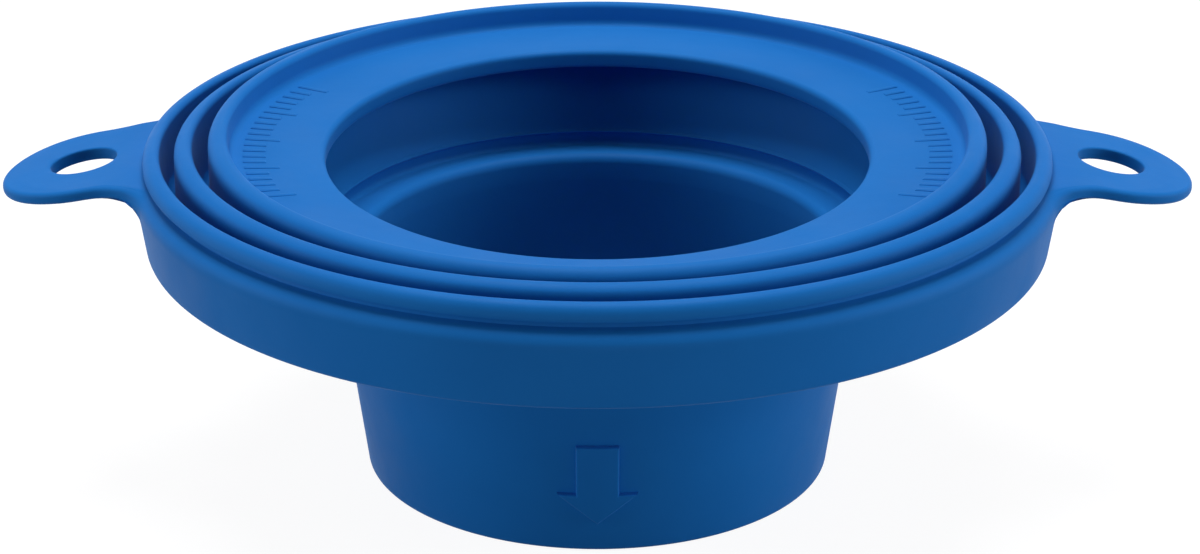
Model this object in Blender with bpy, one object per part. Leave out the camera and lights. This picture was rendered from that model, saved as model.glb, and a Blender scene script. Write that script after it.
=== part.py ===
"""Waxless toilet seal: one rubber moulding with three lip rings, two bolt ears and a sleeve."""
import math

import bmesh
import bpy
from mathutils import Matrix, Vector

# Sizes in millimetres, heights measured up from the sleeve's bottom edge.
MM = 0.001
STEPS = 72                    # segments round the axis
MERGE = 0.00001               # metres

# The closet bolts set the flange's width
BOLT_SPACING = 152.4
BOLT_HOLE_R = 5.0
SKIRT_TO_BOLT = 7.7           # from the bolt's centre in to the skirt
SKIRT_TOP_R = BOLT_SPACING / 2.0 - SKIRT_TO_BOLT
SKIRT_DRAFT = 1.5             # the skirt's foot is this much smaller in radius
SKIRT_BOTTOM_R = SKIRT_TOP_R - SKIRT_DRAFT

RUBBER_COLOR = (0.005, 0.140, 0.480, 1.0)

# Sleeve
SLEEVE_BOTTOM_R = 35.0
SLEEVE_TAPER = 0.135          # radius gained per millimetre of height
WALL = 2.5
SLEEVE_EDGE = 0.7
BORE_SPREAD = 2.1             # the bore's gain in radius up to the ledge

# Hole through the flange, sized from the sleeve
HOLE_R = SLEEVE_BOTTOM_R + 5.3
LIP_THICK = 3.0
LIP_OVERHANG = 2.9
UNDERCUT_R = HOLE_R + LIP_OVERHANG
THROAT_FOOT_R = HOLE_R + 0.7
THROAT_WALL = 3.0
HIP_R = THROAT_FOOT_R + THROAT_WALL
LEDGE_R = SLEEVE_BOTTOM_R - WALL + BORE_SPREAD

# Heights, each from the one below it
HIP_Z = 31.2                  # where the sleeve turns out under the throat's ledge
HIP_RISE = 5.7
LEDGE_FLOOR = 3.0
LEDGE_RISE = 2.2
SKIRT_HEIGHT = 10.6
LEDGE_Z = HIP_Z + LEDGE_FLOOR
THROAT_FOOT_Z = LEDGE_Z + LEDGE_RISE
UNDERSIDE_Z = HIP_Z + HIP_RISE
SHOULDER_Z = UNDERSIDE_Z + SKIRT_HEIGHT
SHOULDER_ROUND = 1.4

# Lip rings from the shoulder inward: land or groove outside, width, crest above the shoulder
RING_STEPS = ((1.5, 2.5, 3.5), (2.1, 2.7, 4.4), (2.3, 2.8, 5.8))
RING_FOOT_RISE = 0.6          # ring 1's outer foot above the shoulder
GROOVE_DEPTH = 8.0            # below ring 2's crest
GROOVE_ROUND = 0.8

# Dished face between the rings and the lip
FACE_RISE = 2.4
FACE_DISH = 0.7
FACE_OUTER_Z = SHOULDER_Z + FACE_RISE
FACE_INNER_Z = FACE_OUTER_Z - FACE_DISH

# Bolt ears
EAR_HALF_WIDTH = 13.0
EAR_BEYOND_BOLT = 12.2
EAR_TIP_X = BOLT_SPACING / 2.0 + EAR_BEYOND_BOLT
EAR_FLARE_R = 9.0
EAR_THICK = 1.9
EAR_EDGE = 0.6
EAR_PAD_MARGIN = (0.7, 0.8)   # flat beyond the bolt hole, inward and outward
EAR_PAD_X = (BOLT_SPACING / 2.0 - BOLT_HOLE_R - EAR_PAD_MARGIN[0],
             BOLT_SPACING / 2.0 + BOLT_HOLE_R + EAR_PAD_MARGIN[1])
EAR_RISE = 0.55
EAR_PAD_START_Z = SHOULDER_Z + EAR_RISE
EAR_ROOT_SLOPE = math.radians(2.0)
EAR_PAD_SLOPE = math.radians(10.0)
EAR_TIP_SLOPE = math.radians(12.0)
EAR_ROOT_INSET = 2.8          # the ear's root ends inside ring 1's wall
EAR_ROOT_R = SKIRT_TOP_R - EAR_ROOT_INSET

# Arrow standing proud of the sleeve's front
ARROW_TIP_Z = 4.9
ARROW_HEAD_LENGTH = 4.95
ARROW_STEM_LENGTH = 8.0
ARROW_SHOULDER_Z = ARROW_TIP_Z + ARROW_HEAD_LENGTH
ARROW_TOP_Z = ARROW_SHOULDER_Z + ARROW_STEM_LENGTH
ARROW_STEM_HALF = 3.1
ARROW_BARB = 2.75
ARROW_HEAD_HALF = ARROW_STEM_HALF + ARROW_BARB
ARROW_HEIGHT = 1.0
ARROW_EDGE = 0.25
ARROW_STRIPS = 12             # upright strips across the arrow, which follow the sleeve's curve


def clear_scene():
    for obj in list(bpy.data.objects):
        bpy.data.objects.remove(obj, do_unlink=True)


def rubber_material():
    mat = bpy.data.materials.new("blue_rubber")
    mat.use_nodes = True
    shader = mat.node_tree.nodes["Principled BSDF"]
    shader.inputs["Base Color"].default_value = RUBBER_COLOR
    shader.inputs["Roughness"].default_value = 0.55
    mat.diffuse_color = RUBBER_COLOR
    return mat


def rounded(corners):
    """Turn (radius, height, rounding, segments) corners into a closed list of points."""
    points = []
    count = len(corners)
    for i, (r, z, rounding, segments) in enumerate(corners):
        here = Vector((r, z))
        if rounding <= 0.0:
            points.append((r, z))
            continue
        before = (Vector(corners[i - 1][:2]) - here).normalized()
        after = (Vector(corners[(i + 1) % count][:2]) - here).normalized()
        half = before.angle(after) / 2.0
        reach = rounding / math.tan(half)
        centre = here + (before + after).normalized() * (rounding / math.sin(half))
        start = here + before * reach - centre
        end = here + after * reach - centre
        sweep = start.angle_signed(end)
        for k in range(segments + 1):
            turned = Matrix.Rotation(-sweep * k / segments, 2) @ start
            points.append((centre.x + turned.x, centre.y + turned.y))
    return points


def sleeve_outer(z):
    return SLEEVE_BOTTOM_R + SLEEVE_TAPER * z


def lip_rings():
    """Inner radius, outer radius and crest height of each ring, outermost first."""
    rings = []
    edge = SKIRT_TOP_R
    for gap, width, rise in RING_STEPS:
        outer = edge - gap
        edge = outer - width
        rings.append((edge, outer, SHOULDER_Z + rise))
    return rings


def section():
    """Corners from the sleeve's foot up the outside, over the rings and down the inside."""
    ring_1, ring_2, ring_3 = lip_rings()
    groove_z = ring_2[2] - GROOVE_DEPTH
    crest = [(ring[1] - ring[0]) / 2.0 - 0.05 for ring in (ring_1, ring_2, ring_3)]
    return [
        (SLEEVE_BOTTOM_R, 0.0, SLEEVE_EDGE, 2),
        (sleeve_outer(HIP_Z), HIP_Z, 1.5, 2),
        (HIP_R - 0.4, HIP_Z + 2.0, 1.0, 2),
        (HIP_R, UNDERSIDE_Z, 0.0, 0),
        (SKIRT_BOTTOM_R, UNDERSIDE_Z, 0.7, 2),
        (SKIRT_TOP_R, SHOULDER_Z - 0.2, SHOULDER_ROUND, 3),
        (ring_1[1], SHOULDER_Z + RING_FOOT_RISE, 0.5, 1),
        (ring_1[1] - 0.1, ring_1[2], crest[0], 3),
        (ring_1[0], ring_1[2], crest[0], 3),
        (ring_1[0], groove_z, GROOVE_ROUND, 1),
        (ring_2[1], groove_z, GROOVE_ROUND, 1),
        (ring_2[1], ring_2[2], crest[1], 3),
        (ring_2[0], ring_2[2], crest[1], 3),
        (ring_2[0], groove_z, GROOVE_ROUND, 1),
        (ring_3[1], groove_z, GROOVE_ROUND, 1),
        (ring_3[1], ring_3[2], crest[2], 3),
        (ring_3[0], ring_3[2], crest[2], 3),
        (ring_3[0] - 0.3, FACE_OUTER_Z, 1.2, 2),
        (HOLE_R, FACE_INNER_Z, 1.4, 3),
        (HOLE_R, FACE_INNER_Z - LIP_THICK, 0.8, 2),
        (UNDERCUT_R, FACE_INNER_Z - LIP_THICK, 0.6, 1),
        (THROAT_FOOT_R, THROAT_FOOT_Z, 0.4, 1),
        (LEDGE_R, LEDGE_Z, 1.0, 2),
        (SLEEVE_BOTTOM_R - WALL, 0.0, SLEEVE_EDGE, 2),
    ]


def mesh_object(name, bm):
    bmesh.ops.recalc_face_normals(bm, faces=bm.faces)
    mesh = bpy.data.meshes.new(name)
    bm.to_mesh(mesh)
    bm.free()
    obj = bpy.data.objects.new(name, mesh)
    bpy.context.scene.collection.objects.link(obj)
    return obj


def add_screw(obj):
    screw = obj.modifiers.new("revolve", "SCREW")
    screw.axis = "Z"
    screw.angle = 2.0 * math.pi
    screw.steps = STEPS
    screw.render_steps = STEPS
    screw.use_merge_vertices = True
    screw.merge_threshold = MERGE
    screw.use_smooth_shade = False


def profile_loop(name, points):
    """A closed loop of edges in the XZ plane, ordered so the revolved faces look outward."""
    mesh = bpy.data.meshes.new(name)
    verts = [(r * MM, 0.0, z * MM) for r, z in reversed(points)]
    count = len(verts)
    mesh.from_pydata(verts, [(i, (i + 1) % count) for i in range(count)], [])
    obj = bpy.data.objects.new(name, mesh)
    bpy.context.scene.collection.objects.link(obj)
    add_screw(obj)
    return obj


def helper(obj):
    obj.hide_render = True
    obj.display_type = "WIRE"
    return obj


def ear_height(x):
    """Height of the ear's top face: nearly level at the root, drooping to the tip."""
    start, end = EAR_PAD_X
    if x < start:
        return EAR_PAD_START_Z + (start - x) * math.tan(EAR_ROOT_SLOPE)
    if x < end:
        return EAR_PAD_START_Z - (x - start) * math.tan(EAR_PAD_SLOPE)
    pad_end = EAR_PAD_START_Z - (end - start) * math.tan(EAR_PAD_SLOPE)
    return pad_end - (x - end) * math.tan(EAR_TIP_SLOPE)


def ear_outline():
    """Plan of the right-hand ear: round end, straight sides, flares to the flange's edge."""
    end_x = EAR_TIP_X - EAR_HALF_WIDTH
    half = []
    for k in range(10):
        a = math.radians(90.0 * k / 9.0)
        half.append((end_x + EAR_HALF_WIDTH * math.cos(a), EAR_HALF_WIDTH * math.sin(a)))
    centre_y = EAR_HALF_WIDTH + EAR_FLARE_R
    reach = SKIRT_TOP_R - 0.2 + EAR_FLARE_R
    centre_x = math.sqrt(reach * reach - centre_y * centre_y)
    end_angle = math.atan2(-centre_y, -centre_x) + 2.0 * math.pi
    for k in range(6):
        a = 1.5 * math.pi + (end_angle - 1.5 * math.pi) * k / 5.0
        half.append((centre_x + EAR_FLARE_R * math.cos(a), centre_y + EAR_FLARE_R * math.sin(a)))
    root_angle = math.atan2(centre_y, centre_x)
    half += [(EAR_ROOT_R * math.cos(root_angle * f), EAR_ROOT_R * math.sin(root_angle * f))
             for f in (1.0, 0.66, 0.33)]
    lower = [(x, -y) for x, y in reversed(half[1:])]
    return half + [(EAR_ROOT_R, 0.0)] + lower


def make_ear(name, side):
    bm = bmesh.new()
    outline = ear_outline()
    base = [bm.verts.new((x, y, -EAR_THICK)) for x, y in outline]
    face = bm.faces.new(base)
    lift = bmesh.ops.extrude_face_region(bm, geom=[face])
    for v in lift["geom"]:
        if isinstance(v, bmesh.types.BMVert):
            v.co.z = 0.0
    rims = [e for e in bm.edges if abs(e.verts[0].co.z - e.verts[1].co.z) < 1e-6]
    bmesh.ops.bevel(bm, geom=rims, offset=EAR_EDGE, segments=2, profile=0.5, affect="EDGES")
    for x in EAR_PAD_X:
        geom = bm.verts[:] + bm.edges[:] + bm.faces[:]
        bmesh.ops.bisect_plane(bm, geom=geom, plane_co=(x, 0.0, 0.0), plane_no=(1.0, 0.0, 0.0))
    for v in bm.verts:
        v.co.z += ear_height(v.co.x)
        v.co.x *= side
        v.co *= MM
    return helper(mesh_object(name, bm))


def make_bolt_cutter(name, side):
    """A round cutter square to the ear's flat pad."""
    x = BOLT_SPACING / 2.0
    bm = bmesh.new()
    bmesh.ops.create_cone(bm, cap_ends=True, segments=32, radius1=BOLT_HOLE_R * MM,
                          radius2=BOLT_HOLE_R * MM, depth=8.0 * MM)
    tilt = Matrix.Rotation(EAR_PAD_SLOPE * side, 4, "Y")
    place = Matrix.Translation((x * side * MM, 0.0, (ear_height(x) - EAR_THICK / 2.0) * MM))
    bmesh.ops.transform(bm, matrix=place @ tilt, verts=bm.verts)
    return helper(mesh_object(name, bm))


def inset_outline(corners, inset):
    """The corners of a clockwise outline, moved inwards by the same distance all round."""
    moved = []
    for i, corner in enumerate(corners):
        before = (corner - corners[i - 1]).normalized()
        after = (corners[(i + 1) % len(corners)] - corner).normalized()
        inward_1 = Vector((before.y, -before.x))
        inward_2 = Vector((after.y, -after.x))
        moved.append(corner + (inward_1 + inward_2) * (inset / (1.0 + inward_1.dot(inward_2))))
    return moved


def make_arrow(name):
    """A block drawn flat with y as its rise, cut into strips and wrapped round the sleeve."""
    right = [(ARROW_STEM_HALF, ARROW_TOP_Z), (ARROW_STEM_HALF, ARROW_SHOULDER_Z),
             (ARROW_HEAD_HALF, ARROW_SHOULDER_Z)]
    left = [(-x, z) for x, z in reversed(right)]
    corners = [Vector(p) for p in right + [(0.0, ARROW_TIP_Z)] + left]
    bend = math.sqrt(0.5)
    levels = (
        (-WALL / 2.0, 0.0),
        (ARROW_HEIGHT - ARROW_EDGE, 0.0),
        (ARROW_HEIGHT - ARROW_EDGE * (1.0 - bend), ARROW_EDGE * (1.0 - bend)),
        (ARROW_HEIGHT, ARROW_EDGE),
    )
    bm = bmesh.new()
    rings = []
    for rise, inset in levels:
        rings.append([bm.verts.new((p.x, rise, p.y)) for p in inset_outline(corners, inset)])
    count = len(corners)
    for low, high in zip(rings, rings[1:]):
        for i in range(count):
            j = (i + 1) % count
            bm.faces.new((low[i], low[j], high[j], high[i]))
    bm.faces.new(list(reversed(rings[0])))
    bm.faces.new(rings[-1])
    for k in range(1, ARROW_STRIPS):
        x = ARROW_HEAD_HALF * (2.0 * k / ARROW_STRIPS - 1.0)
        geom = bm.verts[:] + bm.edges[:] + bm.faces[:]
        bmesh.ops.bisect_plane(bm, geom=geom, plane_co=(x, 0.0, 0.0), plane_no=(1.0, 0.0, 0.0))
    for v in bm.verts:
        r = sleeve_outer(v.co.z) + v.co.y
        v.co.y = -math.sqrt(r * r - v.co.x * v.co.x)
        v.co *= MM
    return helper(mesh_object(name, bm))


def add_boolean(obj, other, operation):
    mod = obj.modifiers.new(other.name, "BOOLEAN")
    mod.operation = operation
    mod.solver = "EXACT"
    mod.object = other


def build():
    clear_scene()
    seal = profile_loop("seal_moulding", rounded(section()))
    seal.data.materials.append(rubber_material())
    for label, side in (("left", -1.0), ("right", 1.0)):
        add_boolean(seal, make_ear("ear_" + label, side), "UNION")
    for label, side in (("left", -1.0), ("right", 1.0)):
        add_boolean(seal, make_bolt_cutter("bolt_hole_" + label, side), "DIFFERENCE")
    add_boolean(seal, make_arrow("arrow_mark"), "UNION")


build()
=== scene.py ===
import math

import bmesh
import bpy
from mathutils import Matrix, Vector


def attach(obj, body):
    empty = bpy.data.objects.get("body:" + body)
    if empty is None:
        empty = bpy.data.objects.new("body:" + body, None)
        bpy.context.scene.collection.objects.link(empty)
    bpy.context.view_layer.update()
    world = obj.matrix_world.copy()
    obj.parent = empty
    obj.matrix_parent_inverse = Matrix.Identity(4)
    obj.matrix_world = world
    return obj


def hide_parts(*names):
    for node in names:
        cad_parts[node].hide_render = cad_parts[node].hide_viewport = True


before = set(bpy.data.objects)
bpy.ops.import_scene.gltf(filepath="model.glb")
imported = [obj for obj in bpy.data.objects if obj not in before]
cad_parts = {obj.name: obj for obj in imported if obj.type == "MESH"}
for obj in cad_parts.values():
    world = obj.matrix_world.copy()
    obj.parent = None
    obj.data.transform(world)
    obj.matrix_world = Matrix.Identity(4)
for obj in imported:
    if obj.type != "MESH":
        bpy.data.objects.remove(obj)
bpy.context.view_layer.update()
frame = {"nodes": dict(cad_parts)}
print("frame loaded:", ", ".join(frame["nodes"]))

mm = 0.001


# The camera stands at the photograph's angle, with the sleeve's edge near the bottom of the frame
view = {
    "target": (0.0, 0.0, 0.0283),   # metres
    "elevation": 22.3,
    "distance": 0.5,
    "lens": 99.5,              # millimetres, as the sensor
    "sensor": 36.0,
    "shiftX": 0.0021,
    "clipNear": 0.02,
    "clipFar": 20.0,
}


def makeCamera():
    data = bpy.data.cameras.new("viewCamera")
    data.lens = view["lens"]
    data.sensor_width = view["sensor"]
    data.shift_x = view["shiftX"]
    data.clip_start = view["clipNear"]
    data.clip_end = view["clipFar"]
    data.dof.use_dof = False
    camera = bpy.data.objects.new("viewCamera", data)
    tilt = math.radians(view["elevation"])
    back = Vector((0.0, -math.cos(tilt), math.sin(tilt)))
    camera.location = Vector(view["target"]) + back * view["distance"]
    camera.rotation_euler = (-back).to_track_quat("-Z", "Y").to_euler()
    bpy.context.scene.collection.objects.link(camera)
    bpy.context.scene.camera = camera


makeCamera()
print("camera placed")


# Lengths are in millimetres, heights measured up from the sleeve's edge. From wallEnd to boreTop
# the values are corners of the section, each a radius, a height and a rounding
moulding = {
    "skirtTopR": 68.5,
    "skirtBottomR": 67.0,
    "skirtFootRound": 0.7,
    "undersideZ": 36.9,
    "shoulderZ": 47.5,
    "shoulderDrop": 0.2,       # the skirt's top corner lies this far under the shoulder's height
    "shoulderRound": 2.4,
    "sleeveBottomR": 35.0,
    "sleeveTaper": 0.135,      # radius gained per millimetre of height
    "sleeveEdge": 0.7,
    "wall": 2.5,
    "hipZ": 31.2,
    "hipR": 44.0,
    "hipRound": 1.5,
    "hipInset": 0.4,           # the hip curves up just inside its own radius
    "hipRise": 2.0,
    "hipCurve": 1.0,
    "ring1": (64.5, 67.0, 51.0),   # inner radius, outer radius, crest
    "ring2": (59.7, 62.4, 51.9),
    "ring3": (54.6, 57.4, 53.3),
    "crestOuter": 0.68,        # rounding of a ring's crest, as shares of its width
    "crestInner": 0.30,
    "ringFootZ": 48.4,
    "ringFootRound": 0.2,
    "bellyZ": 49.5,            # below this the outer ring's wall turns in under itself
    "bellyInset": 1.3,
    "grooveZ": 41.6,
    "grooveRound": 1.0,
    "faceOuterZ": 49.9,
    "faceInnerZ": 49.2,
    "faceInset": 0.3,          # the face starts this far inside the inner ring
    "faceDrop": 0.1,
    "faceRound": 1.2,
    "holeR": 40.3,
    "lipThick": 2.8,
    "lipRound": 0.9,
    "lipFootRound": 0.8,
    "undercutR": 48.0,
    "undercutRound": 0.6,
    "wallEnd": (41.05, 37.35, 0.25),   # the throat's wall ends in a thin edge over a hollow
    "wallFoot": (40.45, 37.0, 0.12),
    "underFoot": (40.85, 36.65, 0.1),
    "hollow": (40.7, 34.8, 0.8),
    "roll": (35.3, 35.05, 1.6),        # rounded shoulder above the bore
    "boreTop": (34.8, 31.0, 1.5),
    "roundSteps": 6,
    "longestRun": 3.0,         # straight runs are divided into pieces no longer than this
    "skirtRow": 2.2,           # the grid has a row this far up the skirt
    "rimRow": 4.5,             # and the ears and the rim start from this one
    "flangeSteps": 84,         # stations between one ear and the next
    "sharpAngle": 34.0,        # degrees, edges that turn more than this shade as sharp
}

# The soft pleats sit a little askew, as in the photograph: the throat's lip and the inner ring
# dip at the front and rise at the back, and the two outer rings lean the other way
flex = {
    "byRadius": ((0.0, 1.50), (43.0, 1.50), (53.6, 0.75), (57.4, 0.80), (58.6, 0.0), (59.7, -0.40),
                 (62.4, -0.40), (63.5, -0.45), (64.5, -0.55), (66.4, -0.55), (67.4, 0.0), (90.0, 0.0)),
    "throatZ": (36.4, 46.2),   # the lean grows between these heights at the throat
    "ringZ": (43.9, 50.5),     # and between these at the rings
    "throatR": 45.0,           # the throat reaches out to here
    "ringR": 57.0,             # and the rings start here
    "ringFootR": 66.0,         # the outer ring's own wall leans only above its foot
    "ringFootZ": (48.1, 50.3),
}

ear = {
    "halfWidth": 13.0,
    "tipX": 88.4,
    "flareR": 9.0,
    "thick": 1.9,
    "edgeRound": 0.8,
    "fullRim": 2.4,            # the rim has its whole rounding where the ear stands out this far
    "rootWide": 2.4,           # fillet where the ear's underside meets the skirt
    "rootTall": 3.9,
    "widestRoot": 0.5,         # its width at most, as a share of how far the ear stands out
    "tallestRoot": 0.9,        # its height at most, as a share of the skirt under the ear
    "topBlend": 2.0,           # the top runs into the outer ring's foot over this length
    "padStart": 70.5,
    "padEnd": 82.0,
    "padStartZ": 48.05,
    "slopes": (2.0, 10.0, 12.0),   # degrees, at the root, on the pad and at the tip
    "bendWidth": 3.0,          # each change of slope is spread over this length
    "merge": 3.0,              # the rim becomes the shoulder where the ear stands out less than this
    "steps": 40,               # stations on half an ear
    "rows": (5, 6, 14, 16),    # grid rows on the skirt, the fillet, the underside and the top
}


# Groups of (radius, height) points, one group for each (radius, height, rounding) corner
def roundCorners(corners, steps):
    groups = []
    for i, (r, z, rounding) in enumerate(corners):
        if rounding <= 0.0:
            groups.append([(r, z)])
            continue
        here = Vector((r, z))
        before = (Vector(corners[i - 1][:2]) - here).normalized()
        after = (Vector(corners[(i + 1) % len(corners)][:2]) - here).normalized()
        half = before.angle(after) / 2.0
        centre = here + (before + after).normalized() * (rounding / math.sin(half))
        start = here + before * (rounding / math.tan(half)) - centre
        end = here + after * (rounding / math.tan(half)) - centre
        sweep = start.angle_signed(end)
        group = []
        for k in range(steps + 1):
            turned = Matrix.Rotation(-sweep * k / steps, 2) @ start
            group.append((centre.x + turned.x, centre.y + turned.y))
        groups.append(group)
    return groups


# Adds points on the straight runs, so that no run is longer than asked
def divideRuns(points, longest):
    filled = [points[0]]
    for a, b in zip(points, points[1:]):
        pieces = max(1, math.ceil(math.hypot(b[0] - a[0], b[1] - a[1]) / longest))
        for k in range(1, pieces + 1):
            filled.append((a[0] + (b[0] - a[0]) * k / pieces, a[1] + (b[1] - a[1]) * k / pieces))
    return filled


# The section, anticlockwise from the sleeve's outer edge, as (radius, height, rounding)
def sectionCorners():
    m = moulding
    hipSleeveR = m["sleeveBottomR"] + m["sleeveTaper"] * m["hipZ"]
    lipFootZ = m["faceInnerZ"] - m["lipThick"]
    outer1, outer2, outer3 = [(m[k][1] - m[k][0]) * m["crestOuter"] for k in ("ring1", "ring2", "ring3")]
    inner1, inner2, inner3 = [(m[k][1] - m[k][0]) * m["crestInner"] for k in ("ring1", "ring2", "ring3")]
    return [
        (m["sleeveBottomR"], 0.0, m["sleeveEdge"]),
        (hipSleeveR, m["hipZ"], m["hipRound"]),
        (m["hipR"] - m["hipInset"], m["hipZ"] + m["hipRise"], m["hipCurve"]),
        (m["hipR"], m["undersideZ"], 0.0),
        (m["skirtBottomR"], m["undersideZ"], m["skirtFootRound"]),
        (m["skirtTopR"], m["shoulderZ"] - m["shoulderDrop"], m["shoulderRound"]),
        (m["ring1"][1] - m["bellyInset"], m["ringFootZ"], m["ringFootRound"]),
        (m["ring1"][1], m["bellyZ"], 0.0),
        (m["ring1"][1], m["ring1"][2], outer1),
        (m["ring1"][0], m["ring1"][2], inner1),
        (m["ring1"][0], m["grooveZ"], m["grooveRound"]),
        (m["ring2"][1], m["grooveZ"], m["grooveRound"]),
        (m["ring2"][1], m["ring2"][2], outer2),
        (m["ring2"][0], m["ring2"][2], inner2),
        (m["ring2"][0], m["grooveZ"], m["grooveRound"]),
        (m["ring3"][1], m["grooveZ"], m["grooveRound"]),
        (m["ring3"][1], m["ring3"][2], outer3),
        (m["ring3"][0], m["ring3"][2], inner3),
        (m["ring3"][0] - m["faceInset"], m["faceOuterZ"] - m["faceDrop"], m["faceRound"]),
        (m["holeR"], m["faceInnerZ"], m["lipRound"]),
        (m["holeR"], lipFootZ, m["lipFootRound"]),
        (m["undercutR"], lipFootZ, m["undercutRound"]),
        m["wallEnd"],
        m["wallFoot"],
        m["underFoot"],
        m["hollow"],
        m["roll"],
        m["boreTop"],
        (m["sleeveBottomR"] - m["wall"], 0.0, m["sleeveEdge"]),
    ]


# Height of the ear's top face: nearly level at the root, drooping to the tip
def earTop(x):
    rootRise, padDrop, tipDrop = [math.tan(math.radians(s)) for s in ear["slopes"]]
    z = ear["padStartZ"] + (ear["padStart"] - x) * rootRise
    for bendX, change in ((ear["padStart"], padDrop - rootRise), (ear["padEnd"], tipDrop - padDrop)):
        past = x - bendX
        reach = ear["bendWidth"]
        if past >= reach:
            z -= change * past
        elif past > -reach:
            z -= change * (past + reach) ** 2 / (4.0 * reach)
    return z


# 0 to 1 without a kink at either end
def smoothStep(value):
    t = min(1.0, max(0.0, value))
    return t * t * (3.0 - 2.0 * t)


# Half an ear's outline from tip to skirt, as (angle on the flange, plan point, outward normal)
def earStations():
    endX = ear["tipX"] - ear["halfWidth"]
    flareY = ear["halfWidth"] + ear["flareR"]
    reach = moulding["skirtTopR"] + ear["flareR"]
    flareX = math.sqrt(reach * reach - flareY * flareY)
    lastAngle = math.atan2(flareY, flareX)
    flareSweep = math.pi / 2.0 - lastAngle

    # The tip's quarter round, the straight side and the flare
    lengths = (ear["halfWidth"] * math.pi / 2.0, endX - flareX, ear["flareR"] * flareSweep)
    total = sum(lengths)
    stations = []
    for k in range(ear["steps"] + 1):
        along = total * k / ear["steps"]
        if along <= lengths[0]:
            a = along / ear["halfWidth"]
            normal = Vector((math.cos(a), math.sin(a)))
            point = Vector((endX, 0.0)) + normal * ear["halfWidth"]
        elif along <= lengths[0] + lengths[1]:
            normal = Vector((0.0, 1.0))
            point = Vector((endX - (along - lengths[0]), ear["halfWidth"]))
        else:
            a = 1.5 * math.pi - (along - lengths[0] - lengths[1]) / ear["flareR"]
            normal = -Vector((math.cos(a), math.sin(a)))
            point = Vector((flareX, flareY)) - normal * ear["flareR"]
        stations.append((lastAngle * k / ear["steps"], point, normal))
    return stations


# Stations all the way round: the right ear, the back, the left ear and the front
def allStations():
    half = earStations()
    rightEar = [(-a, Vector((p.x, -p.y)), Vector((n.x, -n.y))) for a, p, n in reversed(half[1:])] + half
    lastAngle = half[-1][0]
    leftEar = [(a + math.pi, -p, -n) for a, p, n in rightEar]
    around = []
    for start, earRun in ((lastAngle, rightEar), (math.pi + lastAngle, leftEar)):
        around += earRun
        gap = math.pi - 2.0 * lastAngle
        for k in range(1, moulding["flangeSteps"]):
            a = start + gap * k / moulding["flangeSteps"]
            normal = Vector((math.cos(a), math.sin(a)))
            around.append((a, normal * moulding["skirtTopR"], normal))
    return around


# The skirt's outside at a height
def skirtRadius(z):
    m = moulding
    share = (z - m["undersideZ"]) / (m["shoulderZ"] - m["shoulderDrop"] - m["undersideZ"])
    return m["skirtBottomR"] + (m["skirtTopR"] - m["skirtBottomR"]) * share


# The skirt's upper side, the rim and the land at one station, ear or not, as 3D points
def flangeRim(station, shoulder, footR, footZ, lowZ):
    angle, point, normal = station
    spoke = Vector((math.cos(angle), math.sin(angle)))
    overhang = point.length - moulding["skirtTopR"]
    weight = smoothStep(overhang / ear["merge"])
    sideCount, filletCount, underCount, landCount = ear["rows"]
    rimCount = len(shoulder)
    startZ = shoulder[0][1]

    # Without an ear: up the skirt, over the shoulder's round and in along the land
    plain = []
    steps = sideCount + filletCount + underCount
    for k in range(steps):
        z = lowZ + (startZ - lowZ) * k / steps
        at = spoke * skirtRadius(z)
        plain.append(Vector((at.x, at.y, z)))
    for r, z in shoulder:
        at = point - normal * (moulding["skirtTopR"] - r)
        plain.append(Vector((at.x, at.y, z)))
    inner = point - normal * (moulding["skirtTopR"] - shoulder[-1][0])
    foot = spoke * footR
    for k in range(1, landCount + 1):
        at = inner.lerp(foot, k / landCount)
        plain.append(Vector((at.x, at.y, shoulder[-1][1] + (footZ - shoulder[-1][1]) * k / landCount)))
    if weight <= 0.0:
        return plain

    # With an ear: a fillet under it, its underside, its rim and its top
    side = 1.0 if point.x > 0.0 else -1.0
    rim = ear["edgeRound"] * min(1.0, overhang / ear["fullRim"])
    under = earTop(spoke.x * side * moulding["skirtTopR"]) - ear["thick"]
    wide = min(ear["rootWide"], overhang * ear["widestRoot"])
    tall = min(ear["rootTall"], (under - lowZ) * ear["tallestRoot"])
    made = []
    for k in range(sideCount):
        z = lowZ + (under - tall - lowZ) * k / sideCount
        at = spoke * skirtRadius(z)
        made.append(Vector((at.x, at.y, z)))
    for k in range(filletCount):
        a = math.pi / 2.0 * k / filletCount
        z = under - tall * (1.0 - math.sin(a))
        r = skirtRadius(z) + wide * (1.0 - math.cos(a))
        made.append(Vector((spoke.x * r, spoke.y * r, z)))
    start = spoke * (skirtRadius(under) + wide)
    end = point - normal * rim
    for k in range(underCount):
        at = start.lerp(end, k / underCount)
        made.append(Vector((at.x, at.y, earTop(at.x * side) - ear["thick"])))
    edgeTop = earTop(point.x * side)
    half = rimCount // 2
    for k in range(rimCount):
        if k < half:
            a = math.pi / 2.0 * k / (half - 1)
            inset = rim * (1.0 - math.sin(a))
            z = edgeTop - ear["thick"] + rim * (1.0 - math.cos(a))
        else:
            a = math.pi / 2.0 * (k - half) / (rimCount - half - 1)
            inset = rim * (1.0 - math.cos(a))
            z = edgeTop - rim * (1.0 - math.sin(a))
        at = point - normal * inset
        made.append(Vector((at.x, at.y, z)))
    start = point - normal * rim
    for k in range(1, landCount + 1):
        at = start.lerp(foot, k / landCount)
        blend = smoothStep((at - foot).length / ear["topBlend"])
        z = footZ + (earTop(at.x * side) - footZ) * blend
        made.append(Vector((at.x, at.y, z)))
    return [a.lerp(b, weight) for a, b in zip(plain, made)]


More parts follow.
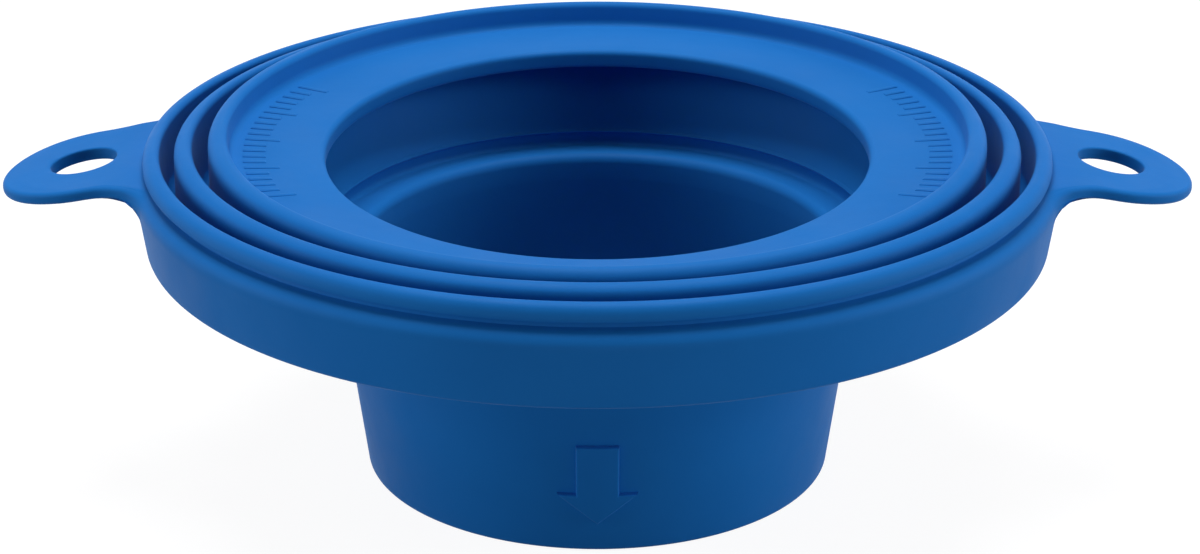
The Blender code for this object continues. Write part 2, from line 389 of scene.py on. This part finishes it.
# How far a point at this radius and height rises at the very back, in millimetres
def leanOf(r, z):
    amount = 0.0
    for (r0, a0), (r1, a1) in zip(flex["byRadius"], flex["byRadius"][1:]):
        if r0 <= r <= r1:
            amount = a0 + (a1 - a0) * (r - r0) / (r1 - r0)
    if r < flex["throatR"]:
        low, high = flex["throatZ"]
    elif r > flex["ringFootR"]:
        low, high = flex["ringFootZ"]
    elif r > flex["ringR"]:
        low, high = flex["ringZ"]
    else:
        return amount
    return amount * smoothStep((z - low) / (high - low))


# A point of the level moulding, moved by the lean at its place
def leaned(point):
    r = math.hypot(point.x, point.y)
    return Vector((point.x, point.y, point.z + leanOf(r, point.z) * point.y / r))


def linkMesh(name, mesh):
    piece = bpy.data.objects.new(name, mesh)
    bpy.context.scene.collection.objects.link(piece)
    return piece


def meshPiece(name, bm):
    bmesh.ops.recalc_face_normals(bm, faces=bm.faces)
    mesh = bpy.data.meshes.new(name)
    bm.to_mesh(mesh)
    bm.free()
    return linkMesh(name, mesh)


# Walls between rings of vertices that lie one above the other, and a cap at each end
def stackRings(bm, rings):
    count = len(rings[0])
    for low, high in zip(rings, rings[1:]):
        for i in range(count):
            j = (i + 1) % count
            bm.faces.new((low[i], low[j], high[j], high[i]))
    bm.faces.new(list(reversed(rings[0])))
    bm.faces.new(rings[-1])


# The whole moulding as one closed grid: stations round the axis, section points down each
def buildMoulding():
    groups = roundCorners(sectionCorners(), moulding["roundSteps"])
    shoulderAt = 5   # the shoulder's place among the section's corners
    lower = divideRuns([p for group in groups[:shoulderAt] for p in group], moulding["longestRun"])
    footTop = lower[-1][1]
    lowZ = footTop + moulding["rimRow"]
    lower.append((skirtRadius(footTop + moulding["skirtRow"]), footTop + moulding["skirtRow"]))

    # The shoulder's round gets twice the points, since the same rows make the ears' rim
    shoulder = groups[shoulderAt]
    doubled = []
    for a, b in zip(shoulder, shoulder[1:]):
        doubled += [a, ((a[0] + b[0]) / 2.0, (a[1] + b[1]) / 2.0)]
    shoulder = doubled + [shoulder[-1]]
    upper = [p for group in groups[shoulderAt + 1:] for p in group] + [groups[0][0]]
    upper = divideRuns(upper, moulding["longestRun"])[:-1]
    footR, footZ = upper[0]
    verts, rows = [], []
    for station in allStations():
        angle = station[0]
        spoke = Vector((math.cos(angle), math.sin(angle)))
        loop = [Vector((spoke.x * r, spoke.y * r, z)) for r, z in lower]
        loop += flangeRim(station, shoulder, footR, footZ, lowZ)
        loop += [Vector((spoke.x * r, spoke.y * r, z)) for r, z in upper[1:]]
        rows.append(range(len(verts), len(verts) + len(loop)))
        verts += [leaned(v) * mm for v in loop]
    faces = []
    for j in range(len(rows)):
        here, there = rows[j], rows[(j + 1) % len(rows)]
        for i in range(len(here)):
            k = (i + 1) % len(here)
            faces.append((here[i], there[i], there[k], here[k]))
    mesh = bpy.data.meshes.new("sealBody")
    mesh.from_pydata(verts, [], faces)
    bm = bmesh.new()
    bm.from_mesh(mesh)
    bmesh.ops.recalc_face_normals(bm, faces=bm.faces)
    bm.to_mesh(mesh)
    bm.free()
    return linkMesh("sealBody", mesh)


boltHole = {
    "x": 76.2,                 # closet bolts stand 152.4 apart
    "radius": 5.0,
    "edgeRound": 0.3,
    "edgeTurn": 68.0,          # degrees of the edge's round that are cut
    "edgeSteps": 4,
    "cutterStep": 0.25,        # beyond each face the cutter is this much wider
    "cutterGap": 0.1,
    "cutterReach": 3.0,
    "segments": 72,
}


# A round cutter square to the ear's pad, flared a little where it leaves each face
def boltCutter(side):
    b = boltHole
    half = ear["thick"] / 2.0
    profile = []
    for k in range(b["edgeSteps"] + 1):
        a = math.radians(b["edgeTurn"]) * k / b["edgeSteps"]
        rise = half - b["edgeRound"] * (1.0 - math.sin(a))
        profile.append((b["radius"] + b["edgeRound"] * (1.0 - math.cos(a)), rise))
    outerR = profile[-1][0] + b["cutterStep"]
    profile += [(outerR, half + b["cutterGap"]), (outerR, half + b["cutterReach"])]
    profile = [(r, -h) for r, h in reversed(profile)] + profile
    bm = bmesh.new()
    rings = []
    for r, h in profile:
        turns = [2.0 * math.pi * k / b["segments"] for k in range(b["segments"])]
        rings.append([bm.verts.new((r * math.cos(a) * mm, r * math.sin(a) * mm, h * mm)) for a in turns])
    stackRings(bm, rings)
    slope = math.radians(ear["slopes"][1])
    middleZ = earTop(b["x"]) - half / math.cos(slope)
    place = Matrix.Translation((b["x"] * side * mm, 0.0, middleZ * mm))
    bmesh.ops.transform(bm, matrix=place @ Matrix.Rotation(slope * side, 4, "Y"), verts=bm.verts)
    return meshPiece("boltCutter", bm)


# The arrow stands proud of the sleeve's front, and its face follows the sleeve
arrow = {
    "topZ": 17.85,
    "shoulderZ": 9.85,
    "tipZ": 4.9,
    "stemHalf": 3.1,
    "headHalf": 5.85,
    "height": 1.0,
    "sink": 0.8,               # how far the block reaches into the sleeve
    "draft": 0.05,             # the walls lean in by this much
    "edgeRound": 0.28,
    "edgeSteps": 4,
    "columns": 24,
}


# An outline drawn clockwise, moved inwards by the same distance all round
def insetOutline(corners, inset):
    moved = []
    for i, corner in enumerate(corners):
        before = (corner - corners[i - 1]).normalized()
        after = (corners[(i + 1) % len(corners)] - corner).normalized()
        inward1 = Vector((before.y, -before.x))
        inward2 = Vector((after.y, -after.x))
        moved.append(corner + (inward1 + inward2) * (inset / (1.0 + inward1.dot(inward2))))
    return moved


# The block is drawn flat, cut into upright strips and then wrapped round the sleeve's cone
def arrowBlock():
    a = arrow
    right = [(a["stemHalf"], a["topZ"]), (a["stemHalf"], a["shoulderZ"]), (a["headHalf"], a["shoulderZ"])]
    left = [(-x, z) for x, z in reversed(right)]
    corners = [Vector(p) for p in right + [(0.0, a["tipZ"])] + left]
    levels = [(-a["sink"], 0.0), (0.0, 0.0)]
    for k in range(a["edgeSteps"] + 1):
        turn = math.pi / 2.0 * k / a["edgeSteps"]
        rise = a["height"] - a["edgeRound"] * (1.0 - math.sin(turn))
        levels.append((rise, a["draft"] + a["edgeRound"] * (1.0 - math.cos(turn))))
    bm = bmesh.new()
    rings = []
    for rise, inset in levels:
        rings.append([bm.verts.new((p.x, -rise, p.y)) for p in insetOutline(corners, inset)])
    stackRings(bm, rings)
    for k in range(1, a["columns"]):
        x = a["headHalf"] * (2.0 * k / a["columns"] - 1.0)
        geom = bm.verts[:] + bm.edges[:] + bm.faces[:]
        bmesh.ops.bisect_plane(bm, geom=geom, plane_co=(x, 0.0, 0.0), plane_no=(1.0, 0.0, 0.0))
    for v in bm.verts:
        r = moulding["sleeveBottomR"] + moulding["sleeveTaper"] * v.co.z - v.co.y
        v.co = Vector((v.co.x, -math.sqrt(r * r - v.co.x * v.co.x), v.co.z)) * mm
    return meshPiece("arrowBlock", bm)


# Plain raised ticks on the dished face, left and right, in a generic row
ticks = {
    "firstAngle": -24.0,       # degrees from the ear's line, below zero towards the front
    "lastAngle": 28.0,
    "count": 21,
    "everyLong": 5,
    "outerR": 52.4,
    "longLength": 5.2,
    "shortLength": 3.4,
    "width": 0.80,
    "height": 0.11,
    "sink": 0.5,               # how far a tick reaches into the face
    "draft": 0.20,             # its sides lean in by this much
}


# The dished face's height at a radius
def faceHeight(r):
    m = moulding
    share = (r - m["holeR"]) / (m["ring3"][0] - m["faceInset"] - m["holeR"])
    return m["faceInnerZ"] + (m["faceOuterZ"] - m["faceInnerZ"]) * share


# All ticks in one mesh, each a low bar with drafted sides, sunk a little into the face
def tickBars():
    t = ticks
    bm = bmesh.new()
    for side in (1.0, -1.0):
        for k in range(t["count"]):
            share = k / (t["count"] - 1)
            turn = math.radians(t["firstAngle"] + (t["lastAngle"] - t["firstAngle"]) * share)
            spoke = Vector((math.cos(turn) * side, math.sin(turn), 0.0))
            across = Vector((-spoke.y, spoke.x, 0.0))
            length = t["longLength"] if k % t["everyLong"] == 0 else t["shortLength"]
            levels = []
            for lift, shrink in ((-t["sink"], 0.0), (0.0, 0.0), (t["height"], t["draft"])):
                outerR = t["outerR"] - shrink
                innerR = t["outerR"] - length + shrink
                ring = []
                for r, w in ((outerR, -1.0), (outerR, 1.0), (innerR, 1.0), (innerR, -1.0)):
                    at = spoke * r + across * w * (t["width"] / 2.0 - shrink)
                    at.z = faceHeight(r) + lift
                    ring.append(bm.verts.new(leaned(at) * mm))
                levels.append(ring)
            stackRings(bm, levels)
    return meshPiece("tickBars", bm)


# Applies the booleans in order and removes the helper objects
def cutAndJoin(piece, others):
    for other, operation in others:
        mod = piece.modifiers.new(other.name, "BOOLEAN")
        mod.operation = operation
        mod.solver = "EXACT"
        mod.object = other
    graph = bpy.context.evaluated_depsgraph_get()
    mesh = bpy.data.meshes.new_from_object(piece.evaluated_get(graph))
    piece.modifiers.clear()
    old = piece.data
    piece.data = mesh
    bpy.data.meshes.remove(old)
    for other, _ in others:
        bpy.data.objects.remove(other, do_unlink=True)
    mesh.name = piece.name
    mesh.shade_smooth()
    mesh.set_sharp_from_angle(angle=math.radians(moulding["sharpAngle"]))


sealBody = buildMoulding()
print("moulding:", len(sealBody.data.polygons), "faces")
cutAndJoin(sealBody, [
    (boltCutter(1.0), "DIFFERENCE"),
    (boltCutter(-1.0), "DIFFERENCE"),
    (arrowBlock(), "UNION"),
    (tickBars(), "UNION"),
])
print("holes, arrow and ticks done:", len(sealBody.data.polygons), "faces")


# Satin rubber, moulded in colour
rubber = {
    "deep": (0.006, 0.133, 0.455, 1.0),
    "pale": (0.009, 0.163, 0.525, 1.0),
    "gloss": 0.065,            # specular level
    "bloom": 0.04,             # sheen, the greyish look of the rubber at a low angle
    "bloomSpread": 0.40,
    "roughLow": 0.50,
    "roughHigh": 0.62,
    "smearSize": 0.012,        # metres, as all sizes and depths here
    "smearDetail": 4.0,
    "smearMix": 0.6,
    "smearRange": (0.3, 0.7),  # the part of the noise that runs from low to high roughness
    "cloudSize": 0.022,
    "cloudDetail": 3.0,
    "waveSize": 0.009,
    "waveDepth": 0.00012,
    "grainSize": 0.00035,
    "grainDepth": 0.000012,
    "bumpDetail": 2.0,
}


def rubberMaterial():
    mat = bpy.data.materials.new("satinRubber")
    mat.use_nodes = True
    nodes, links = mat.node_tree.nodes, mat.node_tree.links
    shader = nodes["Principled BSDF"]
    shader.inputs["Specular IOR Level"].default_value = rubber["gloss"]
    shader.inputs["Sheen Weight"].default_value = rubber["bloom"]
    shader.inputs["Sheen Roughness"].default_value = rubber["bloomSpread"]
    place = nodes.new("ShaderNodeTexCoord")

    def noise(size, detail, rough=0.5):
        node = nodes.new("ShaderNodeTexNoise")
        node.inputs["Scale"].default_value = 1.0 / size
        node.inputs["Detail"].default_value = detail
        node.inputs["Roughness"].default_value = rough
        links.new(place.outputs["Object"], node.inputs["Vector"])
        return node

    # Slow change of tone, as in a moulding that cooled unevenly. On the mix node, sockets 6
    # and 7 are the two colours and output 2 is the mixed one
    cloud = noise(rubber["cloudSize"], rubber["cloudDetail"])
    tone = nodes.new("ShaderNodeMix")
    tone.data_type = "RGBA"
    tone.inputs[6].default_value = rubber["deep"]
    tone.inputs[7].default_value = rubber["pale"]
    links.new(cloud.outputs["Fac"], tone.inputs[0])
    links.new(tone.outputs[2], shader.inputs["Base Color"])

    # Satin that is a little uneven
    smear = noise(rubber["smearSize"], rubber["smearDetail"], rubber["smearMix"])
    spread = nodes.new("ShaderNodeMapRange")
    spread.inputs["From Min"].default_value = rubber["smearRange"][0]
    spread.inputs["From Max"].default_value = rubber["smearRange"][1]
    spread.inputs["To Min"].default_value = rubber["roughLow"]
    spread.inputs["To Max"].default_value = rubber["roughHigh"]
    links.new(smear.outputs["Fac"], spread.inputs["Value"])
    links.new(spread.outputs["Result"], shader.inputs["Roughness"])

    # Fine mould grain over a faint waviness
    wave = nodes.new("ShaderNodeBump")
    grain = nodes.new("ShaderNodeBump")
    for bump, size, depth in ((wave, "waveSize", "waveDepth"), (grain, "grainSize", "grainDepth")):
        bump.inputs["Strength"].default_value = 1.0
        bump.inputs["Distance"].default_value = rubber[depth]
        links.new(noise(rubber[size], rubber["bumpDetail"]).outputs["Fac"], bump.inputs["Height"])
    links.new(wave.outputs["Normal"], grain.inputs["Normal"])
    links.new(grain.outputs["Normal"], shader.inputs["Normal"])
    return mat


sealBody.data.materials.clear()
sealBody.data.materials.append(rubberMaterial())
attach(sealBody, "root")
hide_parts("seal_moulding")
print("rubber finished")


# A white floor under soft lamps, in metres and watts
studio = {
    "floorHalf": 1.5,
    "floorRough": 0.9,
    "floorPaper": 0.24,        # how much light the white floor throws back at the object
    "floorSeen": 0.12,         # how much the camera sees of that, for the shadow
    "floorGlow": 0.92,         # plain white added for the camera alone
    "worldLight": 0.015,
    "keyPower": 4.7,
    "keySize": 0.42,
    "keyPlaces": ((-0.20, 0.20, 0.96), (0.16, 0.20, 0.96)),
    "sidePowers": (4.1, 5.2),
    "sideSize": 0.6,
    "sidePlaces": ((-0.95, -0.12, 0.25), (0.95, -0.12, 0.25)),
    "frontPower": 1.45,
    "frontWidth": 0.9,
    "frontHeight": 0.06,
    "frontPlace": (0.0, -0.95, 0.035),
    "aimZ": 0.045,             # every lamp points at this height on the axis
}


# 1 for what the camera sees, straight or in gloss or through glass, and 0 for light on the object
def seenByCamera(nodes, links):
    path = nodes.new("ShaderNodeLightPath")
    level = path.outputs["Is Camera Ray"]
    for kind in ("Is Glossy Ray", "Is Transmission Ray"):
        either = nodes.new("ShaderNodeMath")
        either.operation = "MAXIMUM"
        links.new(level, either.inputs[0])
        links.new(path.outputs[kind], either.inputs[1])
        level = either.outputs["Value"]
    return level


# Light falls on the floor as on grey paper, and the camera sees it near white with a faint shadow
def makeFloor():
    half = studio["floorHalf"]
    mesh = bpy.data.meshes.new("studioFloor")
    mesh.from_pydata([(-half, -half, 0.0), (half, -half, 0.0), (half, half, 0.0), (-half, half, 0.0)],
                     [], [(0, 1, 2, 3)])
    floor = linkMesh("studioFloor", mesh)
    mat = bpy.data.materials.new("paleFloor")
    mat.use_nodes = True
    nodes, links = mat.node_tree.nodes, mat.node_tree.links
    shader = nodes["Principled BSDF"]
    shader.inputs["Roughness"].default_value = studio["floorRough"]
    seen = seenByCamera(nodes, links)
    paper = nodes.new("ShaderNodeMapRange")
    paper.inputs["To Min"].default_value = studio["floorPaper"]
    paper.inputs["To Max"].default_value = studio["floorSeen"]
    links.new(seen, paper.inputs["Value"])
    links.new(paper.outputs["Result"], shader.inputs["Base Color"])
    glow = nodes.new("ShaderNodeEmission")
    level = nodes.new("ShaderNodeMath")
    level.operation = "MULTIPLY"
    level.inputs[1].default_value = studio["floorGlow"]
    links.new(seen, level.inputs[0])
    links.new(level.outputs["Value"], glow.inputs["Strength"])
    both = nodes.new("ShaderNodeAddShader")
    links.new(shader.outputs["BSDF"], both.inputs[0])
    links.new(glow.outputs["Emission"], both.inputs[1])
    links.new(both.outputs["Shader"], nodes["Material Output"].inputs["Surface"])
    mesh.materials.append(mat)


def makeWorld():
    world = bpy.data.worlds.new("studioWorld")
    bpy.context.scene.world = world
    world.use_nodes = True
    nodes, links = world.node_tree.nodes, world.node_tree.links
    back = nodes["Background"]
    back.inputs["Color"].default_value = (1.0, 1.0, 1.0, 1.0)
    level = nodes.new("ShaderNodeMapRange")
    level.inputs["To Min"].default_value = studio["worldLight"]
    level.inputs["To Max"].default_value = 1.0
    links.new(seenByCamera(nodes, links), level.inputs["Value"])
    links.new(level.outputs["Result"], back.inputs["Strength"])


def areaLamp(name, place, width, height, power):
    data = bpy.data.lights.new(name, "AREA")
    data.shape = "RECTANGLE"
    data.size = width
    data.size_y = height
    data.energy = power
    lamp = bpy.data.objects.new(name, data)
    lamp.location = place
    aim = Vector((0.0, 0.0, studio["aimZ"])) - Vector(place)
    lamp.rotation_euler = aim.to_track_quat("-Z", "Y").to_euler()
    bpy.context.scene.collection.objects.link(lamp)


makeFloor()
makeWorld()
for name, place in zip(("leftKey", "rightKey"), studio["keyPlaces"]):
    areaLamp(name, place, studio["keySize"], studio["keySize"], studio["keyPower"])
for name, place, power in zip(("leftLamp", "rightLamp"), studio["sidePlaces"], studio["sidePowers"]):
    areaLamp(name, place, studio["sideSize"], studio["sideSize"], power)
areaLamp("frontLamp", studio["frontPlace"], studio["frontWidth"], studio["frontHeight"],
         studio["frontPower"])
bpy.context.scene.view_settings.view_transform = "Standard"
print("studio set")
